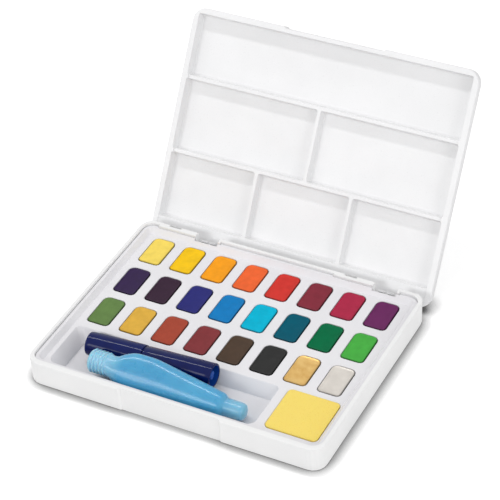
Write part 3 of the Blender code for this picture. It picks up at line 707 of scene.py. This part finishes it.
@dataclass
class PaintCake:
    """One pressed cake of paint, with a low rim where it dried and an edge that drew off its pan."""

    node: str
    paint: Paint
    front_radius: float = 2.6 * MM
    back_radius: float = 3.9 * MM
    shrink: float = 0.2 * MM
    drift: Vector = Vector((-0.12, 0.12, 0)) * MM
    # side_band is the narrow dark pigment edge; the wider band on the right and front sides is painted shade.
    side_band: float = 0.18 * MM
    near_side_shade_band: float = 1.0 * MM
    rim_width: float = 1.1 * MM
    rim_height: float = 0.26 * MM
    edge_round: float = 0.5 * MM
    dish: float = 0.22 * MM
    ripple: float = 0.05 * MM
    ripple_size: float = 2.6 * MM
    foot_inset: float = 0.35 * MM
    least_radius: float = 0.25 * MM
    # Where the painted shade starts to widen towards the right and front sides, and where it is full.
    near_side_shade_start: float = 0.75
    near_side_shade_full: float = 0.9
    corner_steps: int = 8
    straight_steps: int = 6

    # Rings of the top: millimetres in from the outline, then shares of the last ring's size.
    INSETS = (0, 0.08, 0.18, 0.3, 0.5, 0.75, 1.05, 1.5, 2.2)
    INNER_SHARES = (0.82, 0.64, 0.46, 0.28, 0.1)

    def surface_height(self, inset: float, half_width: float, place: Vector) -> float:
        """How far a point of the top lies below the cake's highest level.

        Args:
            inset: Distance in from the outline.
            half_width: Distance from the outline to the middle.
            place: The point, for the ripple.

        Returns:
            The depth below the highest level.
        """
        edge = self.edge_round * (1 - min(inset / self.edge_round, 1.0)) ** 2
        rim = self.rim_height * ease((inset - self.edge_round) / self.rim_width)
        bowl = self.dish * ease(inset / half_width)
        ripple = self.ripple * noise.noise(place / self.ripple_size) * ease(inset / self.rim_width)
        return edge + rim + bowl - ripple

    def dark_edge_and_shade(self, inset: float, offset: Vector, half: Vector) -> float:
        """How dark the edge is at a point, with painted shade on the right and front sides.

        Args:
            inset: Distance in from the outline.
            offset: The point, from the cake's centre.
            half: Half the cake's size.

        Returns:
            From 0, none, to 1.
        """
        # Painted shade: the dark band widens towards the right and front sides.
        towards = max(offset.x / half.x, -offset.y / half.y)
        near_side_shade = ease((towards - self.near_side_shade_start) / (self.near_side_shade_full - self.near_side_shade_start))
        band = self.side_band + (self.near_side_shade_band - self.side_band) * near_side_shade
        return 1 - min(inset / band, 1.0)

    def build(self) -> bpy.types.Object:
        """Make the cake in its solid's place.

        Returns:
            The cake.
        """
        low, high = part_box(self.node)
        half_width = (high.x - low.x) / 2
        centre = (low + high) / 2
        rings: list[Ring] = []
        depths: list[float] = []

        def outline(depth: float, z: float) -> Ring:
            """Ring at a depth in from the cake's outline.

            Args:
                depth: Distance in from the outline.
                z: The ring's height.

            Returns:
                The ring.
            """
            inset = depth + self.shrink
            inward = Vector((inset, inset, 0))
            front = max(self.front_radius - inset, self.least_radius)
            back = max(self.back_radius - inset, self.least_radius)
            near, far = low + self.drift + inward, high + self.drift - inward
            return rounded_outline(near, far, front, back, z, self.corner_steps, self.straight_steps)

        rings.append(outline(self.foot_inset, low.z))
        depths.append(0.0)
        for inset in self.INSETS:
            ring = outline(inset * MM, high.z)
            for point in ring:
                point.z -= self.surface_height(inset * MM, half_width, point)
            rings.append(ring)
            depths.append(inset * MM)
        inner = [point.copy() for point in rings[-1]]
        for share in self.INNER_SHARES:
            ring = []
            for point in inner:
                moved = centre.lerp(point, share)
                moved.z = high.z
                inset = max(half_width - abs(moved.x - centre.x), self.INSETS[-1] * MM)
                moved.z -= self.surface_height(inset, half_width, moved)
                ring.append(moved)
            rings.append(ring)
            depths.append(half_width)
        mesh = bmesh.new()
        # Each vertex keeps how dark its edge is, with the painted shade on the right and front sides
        # included.
        layer = mesh.verts.layers.float.new("edge")
        for loop, depth in zip(skin(mesh, rings), depths):
            for vert in loop:
                vert[layer] = self.dark_edge_and_shade(depth, vert.co - centre, (high - low) / 2)
        cake = mesh_object(f"cake_{self.node.removeprefix('paint_')}", mesh, 60.0)
        cake.data.materials.append(self.paint.finish().build())
        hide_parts(self.node)
        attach(cake, "insert")
        return cake


@dataclass
class SpongeBlock:
    """The sponge: a sawn block, eased at its edges, with sides that draw in and a pored skin."""

    node: str = "sponge"
    corner: float = 2.6 * MM
    swell: float = 0.22 * MM
    edge: float = 0.55 * MM
    squeeze: float = 0.25 * MM
    crown: float = 0.2 * MM
    pore: float = 0.07 * MM
    pore_size: float = 1.1 * MM
    pore_level: float = 0.6
    least_radius: float = 0.3 * MM
    side_steps: int = 8
    corner_steps: int = 6
    straight_steps: int = 26
    top_steps: int = 30
    # The second colour is the painted shade inside the pores.
    finish: Finish = CelluloseFoam("cellulose_foam", "#F8DD72", "#F0CF5C")

    def build(self) -> bpy.types.Object:
        """Make the sponge in its pocket.

        Returns:
            The sponge.
        """
        low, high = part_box(self.node)
        centre = (low + high) / 2
        half_x, half_y = (high.x - low.x) / 2, (high.y - low.y) / 2
        height = high.z - low.z
        mesh = bmesh.new()
        profile = [(self.edge, 0.0), (self.edge * 0.4, self.edge * 0.25), (0.1 * MM, self.edge)]
        for part in range(1, self.side_steps):
            up = part / self.side_steps
            profile.append((self.squeeze * math.sin(math.pi * up), self.edge + (height - 2 * self.edge) * up))
        profile += [(0.1 * MM, height - self.edge), (self.edge * 0.3, height - self.edge * 0.3)]
        top = height - self.crown

        def outline(depth: float, z: float) -> Ring:
            """Ring at a depth in from the swollen sponge's side.

            Args:
                depth: Distance in from the side.
                z: The ring's height.

            Returns:
                The ring.
            """
            inset = depth - self.swell
            inward = Vector((inset, inset, 0))
            radius = max(self.corner - inset * 0.4, self.least_radius)
            near, far = low + inward, high - inward
            return rounded_outline(near, far, radius, radius, z, self.corner_steps, self.straight_steps)

        rings = [outline(inset, low.z + z) for inset, z in profile]
        edge_ring = outline(self.edge, low.z + top)
        rings.append(edge_ring)
        for part in range(1, self.top_steps):
            share = 1 - part / (self.top_steps + 0.5)
            ring = []
            for point in edge_ring:
                moved = centre.lerp(point, share)
                across = max(abs(moved.x - centre.x) / half_x, abs(moved.y - centre.y) / half_y)
                moved.z = low.z + top + self.crown * (1 - across**3)
                ring.append(moved)
            rings.append(ring)
        for ring in rings:
            for point in ring:
                fine = noise.fractal(point / self.pore_size, 0.8, 2.0, 3)
                outward = (point - centre).normalized()
                point += outward * min(self.pore * (fine - self.pore_level), 0.0)
        skin(mesh, rings)
        sponge = mesh_object("sponge_block", mesh, 70.0)
        sponge.data.materials.append(self.finish.build())
        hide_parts(self.node)
        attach(sponge, "sponge")
        return sponge


@dataclass
class BrushHead:
    """The two turned navy pieces of the water brush, and the tuft under the cap."""

    left: Vector
    right: Vector
    cap_length: float = 39.2 * MM
    cap_radius: float = 7.7 * MM
    cap_end_radius: float = 7.25 * MM
    cap_setback: float = 2.1 * MM
    cap_wall: float = 1.2 * MM
    cap_ease: float = 0.3 * MM
    grip_radius: float = 7.5 * MM
    joint_step: float = 0.4 * MM
    socket_radius: float = 6.2 * MM
    socket_depth: float = 9.0 * MM
    boss_radius: float = 2.7 * MM
    spigot_radius: float = 5.5 * MM
    spigot_length: float = 8.0 * MM
    nose_length: float = 15.0 * MM
    gap: float = 0.3 * MM
    steps: int = 72

    def turned(self, name: str, profile: Sequence[tuple[float, float]]) -> bpy.types.Object:
        """Spin a profile about the brush's axis.

        Args:
            name: The piece's name.
            profile: Pairs of distance from the cap's end and radius.

        Returns:
            The turned piece, its ends filled.
        """
        axis = (self.right - self.left).normalized()
        across = axis.cross(Vector((0, 0, 1))).normalized()
        up = across.cross(axis).normalized()
        turns = [math.tau * step / self.steps for step in range(self.steps)]
        rings = [
            [self.left + axis * along + radius * (math.cos(t) * across + math.sin(t) * up) for t in turns]
            for along, radius in profile
        ]
        mesh = bmesh.new()
        skin(mesh, rings)
        return mesh_object(name, mesh, 32.0)

    def build_cap(self) -> bpy.types.Object:
        """The cap: closed and eased at its left end, open over the spigot.

        Returns:
            The cap.
        """
        bore = self.cap_radius - self.cap_wall
        shoulder = self.cap_end_radius
        end = self.cap_setback
        profile = [(end + 0.12 * MM, shoulder * 0.5), (end, shoulder - self.cap_ease)]
        for degrees in (30, 60, 90):
            turn = math.radians(degrees)
            along = end + self.cap_ease * (1 - math.cos(turn))
            profile.append((along, shoulder + self.cap_ease * (math.sin(turn) - 1)))
        profile += [
            (3.6 * MM, self.cap_radius - 0.3 * MM),
            (8.0 * MM, self.cap_radius - 0.12 * MM),
            (17.0 * MM, self.cap_radius),
            (self.cap_length - 0.3 * MM, self.cap_radius),
            (self.cap_length - 0.08 * MM, self.cap_radius - 0.08 * MM),
            (self.cap_length, self.cap_radius - 0.3 * MM),
            (self.cap_length, bore),
            (3.4 * MM, bore - 0.6 * MM),
        ]
        return self.turned("cap_turned", profile)

    def build_grip(self) -> bpy.types.Object:
        """The grip: nose and spigot inside the cap, a step at the joint, and an open socket.

        Returns:
            The grip.
        """
        start = self.cap_length + self.gap
        length = (self.right - self.left).length
        floor = length - self.socket_depth
        profile = [
            (start - self.nose_length, 2.1 * MM),
            (start - self.spigot_length, 2.6 * MM),
            (start - self.spigot_length, self.spigot_radius - 0.3 * MM),
            (start - self.spigot_length + 0.3 * MM, self.spigot_radius),
            (start, self.spigot_radius),
            (start, self.grip_radius - self.joint_step - 0.15 * MM),
            (start + 0.15 * MM, self.grip_radius - self.joint_step),
            (start + 1.2 * MM, self.grip_radius - self.joint_step),
            (start + 1.35 * MM, self.grip_radius - 0.1 * MM),
            (start + 1.6 * MM, self.grip_radius),
            (length - 0.45 * MM, self.grip_radius),
            (length - 0.15 * MM, self.grip_radius - 0.12 * MM),
            (length, self.grip_radius - 0.4 * MM),
            (length, self.socket_radius + 0.3 * MM),
            (length - 0.2 * MM, self.socket_radius),
            (floor + 0.4 * MM, self.socket_radius),
            (floor, self.socket_radius - 0.4 * MM),
            (floor, self.boss_radius),
            (length - 1.6 * MM, self.boss_radius),
            (length - 1.3 * MM, self.boss_radius - 0.12 * MM),
            (length - 1.2 * MM, self.boss_radius - 0.4 * MM),
        ]
        return self.turned("grip_turned", profile)

    def light_the_socket(self, grip: bpy.types.Object) -> None:
        """Paint the socket's inside a paler blue, as painted light for the light through its wall.

        Args:
            grip: The turned grip, with the painted-light finish in its second slot.
        """
        axis = (self.right - self.left).normalized()
        length = (self.right - self.left).length
        for face in grip.data.polygons:
            along = (face.center - self.left).dot(axis)
            reach = (face.center - self.left - along * axis).length
            if along > length - self.socket_depth - self.gap and reach < self.socket_radius + 0.05 * MM:
                face.material_index = 1

    def build(self, nodes: dict[str, bpy.types.Object]) -> list[bpy.types.Object]:
        """Make both turned pieces and dress the tuft.

        Args:
            nodes: The frame's solids by name.

        Returns:
            The cap and the grip.
        """
        cap, grip = self.build_cap(), self.build_grip()
        cap.data.materials.append(PolishedNavy("navy_cap", "#000F4E", "#031658").build())
        grip.data.materials.append(PolishedNavy("navy_grip", "#000D4A", "#021454").build())
        # The socket's inside gets a paler navy: painted light, for the light coming through its wall.
        grip.data.materials.append(PolishedNavy("navy_grip_socket_painted_light", "#12439A", "#1A4FA6").build())
        self.light_the_socket(grip)
        for piece, node, slot, body in (
            (cap, "brush_cap", "cap_navy", "cap"),
            (grip, "brush_grip", "grip_navy", "brush"),
        ):
            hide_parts(node)
            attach(piece, body)
        tuft = nodes["brush_tuft"]
        tuft.data.materials.clear()
        tuft.data.materials.append(NylonBristle("nylon_tuft", "#E4E2D8", "#F2F1EC").build())
        return [cap, grip]


@dataclass
class SqueezeReservoir:
    """The blow-moulded reservoir: ribbed neck, oval belly, taper, shoulder and round tail, hollow."""

    neck_y: float = -55.8
    neck_z: float = 14.5
    neck_radius: float = 6.5
    rib_radius: float = 7.3
    neck_start: float = -61.5
    rib_pitch: float = 2.35
    rib_count: int = 5
    rib_lead: float = 1.45
    rib_half_width: float = 0.88
    neck_wall: float = 1.5
    wall: float = 1.0
    lean: float = 45.0
    steps: int = 72

    # Distance along x, centre y and z, long and short radius, in millimetres.
    BELLY = (
        (-49.2, -55.9, 14.4, 6.75, 6.45),
        (-47.3, -56.1, 13.9, 6.9, 6.3),
        (-44.9, -56.05, 13.3, 7.8, 6.3),
        (-42.0, -55.85, 13.4, 9.4, 6.3),
        (-38.6, -55.6, 13.7, 10.6, 6.1),
        (-34.4, -55.35, 13.9, 11.5, 5.9),
        (-28.5, -55.15, 13.8, 11.7, 5.9),
        (-21.0, -55.0, 13.75, 11.5, 5.9),
        (-12.0, -55.05, 13.1, 10.7, 6.4),
        (0.0, -55.1, 11.8, 9.7, 6.5),
        (12.0, -55.35, 10.95, 8.6, 6.3),
        (21.0, -55.45, 10.35, 7.7, 6.1),
        (24.6, -55.35, 10.0, 7.2, 6.0),
        (26.6, -55.1, 9.4, 6.1, 5.8),
    )
    TAIL = (
        (27.6, -55.0, 9.2, 5.55, 5.55),
        (29.5, -55.0, 9.2, 5.5, 5.5),
        (33.5, -55.0, 9.2, 5.45, 5.45),
        (36.5, -55.0, 9.2, 5.4, 5.4),
        (38.8, -55.0, 9.2, 4.9, 4.9),
        (39.8, -55.0, 9.2, 3.8, 3.8),
        (40.2, -55.0, 9.2, 2.6, 2.6),
        (40.35, -55.0, 9.2, 1.2, 1.2),
    )

    def oval(self, x: float, y: float, z: float, long_radius: float, short_radius: float) -> Ring:
        """One ring across the x axis, its long radius leaning back, from lengths in millimetres.

        Args:
            x: The ring's place along the reservoir.
            y: Its centre's place towards the hinge.
            z: Its centre's height.
            long_radius: Its radius up and back.
            short_radius: Its radius square to that.

        Returns:
            The ring, in metres.
        """
        lean = math.radians(self.lean)
        far = long_radius * Vector((0, math.cos(lean), math.sin(lean)))
        near = short_radius * Vector((0, -math.sin(lean), math.cos(lean)))
        turns = [math.tau * step / self.steps for step in range(self.steps)]
        centre = Vector((x, y, z))
        return [(centre + math.cos(turn) * far + math.sin(turn) * near) * MM for turn in turns]

    def neck_ring(self, x: float, radius: float) -> Ring:
        """One round ring on the neck's own axis, from lengths in millimetres."""
        return self.oval(x, self.neck_y, self.neck_z, radius, radius)

    def neck_radii(self) -> list[tuple[float, float]]:
        """Work out the ribbed neck.

        Returns:
            Pairs of x and radius, in millimetres.
        """
        start, radius = self.neck_start, self.neck_radius
        rows = [(start, radius - 0.3), (start + 0.15, radius - 0.1), (start + 0.4, radius)]
        for rib in range(self.rib_count):
            crest = start + self.rib_lead + rib * self.rib_pitch
            for part in range(-4, 5):
                swell = 0.5 + 0.5 * math.cos(math.pi * part / 4)
                place = crest + self.rib_half_width * part / 4
                rows.append((place, radius + (self.rib_radius - radius) * swell))
        return rows

    def build(self) -> bpy.types.Object:
        """Make the reservoir beside the brush.

        Returns:
            The reservoir.
        """
        body = smooth_stations([*self.BELLY, *self.TAIL], 5)
        outside = [self.neck_ring(x, radius) for x, radius in self.neck_radii()]
        outside += [self.oval(*row) for row in body]
        bore = self.neck_radius - self.neck_wall
        inside = [self.neck_ring(x, bore) for x in (self.neck_start, self.BELLY[0][0])]
        # Past the bore the hollow takes every third ring, to about a wall's thickness from the tail's end.
        for x, y, z, long_radius, short_radius in body[6:-10:3]:
            inside.append(self.oval(x, y, z, long_radius - self.wall, short_radius - self.wall))
        mesh = bmesh.new()
        skin(mesh, [*reversed(outside), *inside])
        reservoir = mesh_object("reservoir_moulded", mesh, 50.0)
        # The last colour is the painted light on the neck and the tail.
        finish = SqueezePolyethylene("polyethylene_blue", "#3B9BCC", "#49A7D6", "#A8D6EA")
        reservoir.data.materials.append(finish.build())
        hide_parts("water_reservoir")
        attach(reservoir, "reservoir")
        return reservoir


@dataclass
class Softbox:
    """A rectangular lamp that looks at the paint box."""

    name: str
    place: Vector
    target: Vector
    width: float
    height: float
    watts: float

    def build(self) -> bpy.types.Object:
        """Hang the lamp.

        Returns:
            The lamp's object.
        """
        light = bpy.data.lights.new(self.name, "AREA")
        light.shape = "RECTANGLE"
        light.size = self.width
        light.size_y = self.height
        light.energy = self.watts
        lamp = bpy.data.objects.new(self.name, light)
        back = (self.place - self.target).normalized()
        guide = Vector((0, 1, 0)) if abs(back.x) > 0.8 else Vector((1, 0, 0))
        across = (guide - back * guide.dot(back)).normalized()
        turned = Matrix((across, back.cross(across), back)).transposed().to_4x4()
        lamp.matrix_world = Matrix.Translation(self.place) @ turned
        bpy.context.scene.collection.objects.link(lamp)
        return lamp


@dataclass
class Studio:
    """Floor, world, lamps and camera of the photograph."""

    azimuth: float = 29.70
    elevation: float = 38.66
    roll: float = -4.0
    camera_place: Vector = Vector((0.48367, -0.81431, 0.83234))
    lens_pixels: float = 2086.0
    frame_pixels: float = 500.0
    floor_half: float = 4.0
    ambient: float = 0.58
    # Reach and depth of the painted contact shade on the floor.
    contact: float = 0.011
    contact_dark: float = 0.10
    floor_glow: float = 0.33

    def build_floor(self) -> None:
        """Lay a white floor that keeps the object's shadow, with painted contact shade at the box."""
        mesh = bmesh.new()
        reach = self.floor_half
        corners = ((-reach, -reach), (reach, -reach), (reach, reach), (-reach, reach))
        mesh.faces.new([mesh.verts.new((x, y, 0)) for x, y in corners])
        floor = mesh_object("studio_floor", mesh)
        material = bpy.data.materials.new("matt_white_sweep")
        material.use_nodes = True
        tree = material.node_tree
        tree.nodes.clear()
        path = add_node(tree, "ShaderNodeLightPath").outputs["Is Camera Ray"]
        paper = add_node(tree, "ShaderNodeBsdfDiffuse", {"Color": linear("#F4F4F4")})
        # Painted contact shade: for the camera the floor darkens where little open sky reaches it near the
        # box.
        open_sky = add_node(tree, "ShaderNodeAmbientOcclusion", {"Distance": self.contact}, samples=16)
        inputs = {"Value": open_sky.outputs["AO"], "From Min": 0.38, "From Max": 0.96}
        inputs["To Min"] = self.contact_dark
        contact = add_node(tree, "ShaderNodeMapRange", inputs).outputs["Result"]
        bright = add_node(tree, "ShaderNodeBsdfDiffuse", {"Color": contact})
        lift = add_node(tree, "ShaderNodeEmission", {"Color": contact, "Strength": self.floor_glow})
        shown = add_node(tree, "ShaderNodeAddShader", {0: bright.outputs[0], 1: lift.outputs[0]})
        mixed = add_node(tree, "ShaderNodeMixShader", {0: path, 1: paper.outputs[0], 2: shown.outputs[0]})
        add_node(tree, "ShaderNodeOutputMaterial", {"Surface": mixed.outputs[0]})
        floor.data.materials.append(material)

    def build_world(self) -> None:
        """Fill the room with plain light, white where the camera, gloss or clear plastic sees it."""
        world = bpy.data.worlds.new("studio_room")
        bpy.context.scene.world = world
        world.use_nodes = True
        tree = world.node_tree
        tree.nodes.clear()
        path = add_node(tree, "ShaderNodeLightPath").outputs
        seen = add_node(
            tree, "ShaderNodeMath", {0: path["Is Camera Ray"], 1: path["Is Glossy Ray"]}, operation="MAXIMUM"
        ).outputs[0]
        seen = add_node(
            tree, "ShaderNodeMath", {0: seen, 1: path["Is Transmission Ray"]}, operation="MAXIMUM"
        ).outputs[0]
        strength = add_node(
            tree, "ShaderNodeMapRange", {"Value": seen, "To Min": self.ambient, "To Max": 1.0}
        ).outputs["Result"]
        room = add_node(tree, "ShaderNodeBackground", {"Color": linear("#FFFFFF"), "Strength": strength})
        add_node(tree, "ShaderNodeOutputWorld", {"Surface": room.outputs[0]})

    def build_lamps(self) -> None:
        """Hang the softboxes."""
        aim = Vector((0, 0.03, 0.02))
        boxes = (
            Softbox("overhead", Vector((-0.42, 0.20, 1.15)), aim, 1.1, 0.07, 4.3),
            Softbox("front_fill", Vector((-0.50, -1.29, 0.70)), aim, 0.9, 0.40, 4.7),
            Softbox("side_fill", Vector((1.25, -0.35, 0.60)), aim, 0.5, 0.9, 4.9),
        )
        for softbox in boxes:
            softbox.build()
            LOG.info("hung %s", softbox.name)

    def build_camera(self) -> None:
        """Set up the camera where the photograph was taken from."""
        turn, rise, roll = (math.radians(v) for v in (self.azimuth, self.elevation, self.roll))
        back = Vector((math.sin(turn) * math.cos(rise), -math.cos(turn) * math.cos(rise), math.sin(rise)))
        level = Vector((math.cos(turn), math.sin(turn), 0))
        up = back.cross(level)
        right = math.cos(roll) * level + math.sin(roll) * up
        up = back.cross(right)
        lens = bpy.data.cameras.new("photograph")
        lens.sensor_width = 36.0
        lens.lens = self.lens_pixels / self.frame_pixels * lens.sensor_width
        lens.clip_start = 0.05
        lens.clip_end = 30.0
        camera = bpy.data.objects.new("photograph", lens)
        turned = Matrix((right, up, back)).transposed().to_4x4()
        camera.matrix_world = Matrix.Translation(self.camera_place) @ turned
        bpy.context.scene.collection.objects.link(camera)
        bpy.context.scene.camera = camera

    def build(self) -> None:
        """Set the whole studio up."""
        bpy.context.scene.view_settings.view_transform = "Standard"
        self.build_camera()
        self.build_floor()
        self.build_world()
        self.build_lamps()


def main() -> None:
    """Build the studio and dress the paint box, piece by piece."""
    logging.basicConfig(level=logging.INFO, format="%(name)s: %(message)s")
    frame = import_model()
    nodes = frame["nodes"]
    Studio().build()
    MouldedShells().dress(nodes)
    for name in sorted(nodes):
        if name.startswith("paint_"):
            tag = name.split("_", 2)[2]
            cake = PaintCake(name, Paint[tag]).build()
            LOG.info("made %s", cake.name)
    LOG.info("made %s", SpongeBlock().build().name)
    # The ends of the brush's axis: the solid cap's closed end and the grip's open end.
    brush = BrushHead(Vector((-0.0743, -0.04078, 0.0114)), Vector((0.011188, -0.03825, 0.0135)))
    for piece in brush.build(nodes):
        LOG.info("made %s", piece.name)
    LOG.info("made %s", SqueezeReservoir().build().name)


if __name__ == "__main__":
    main()
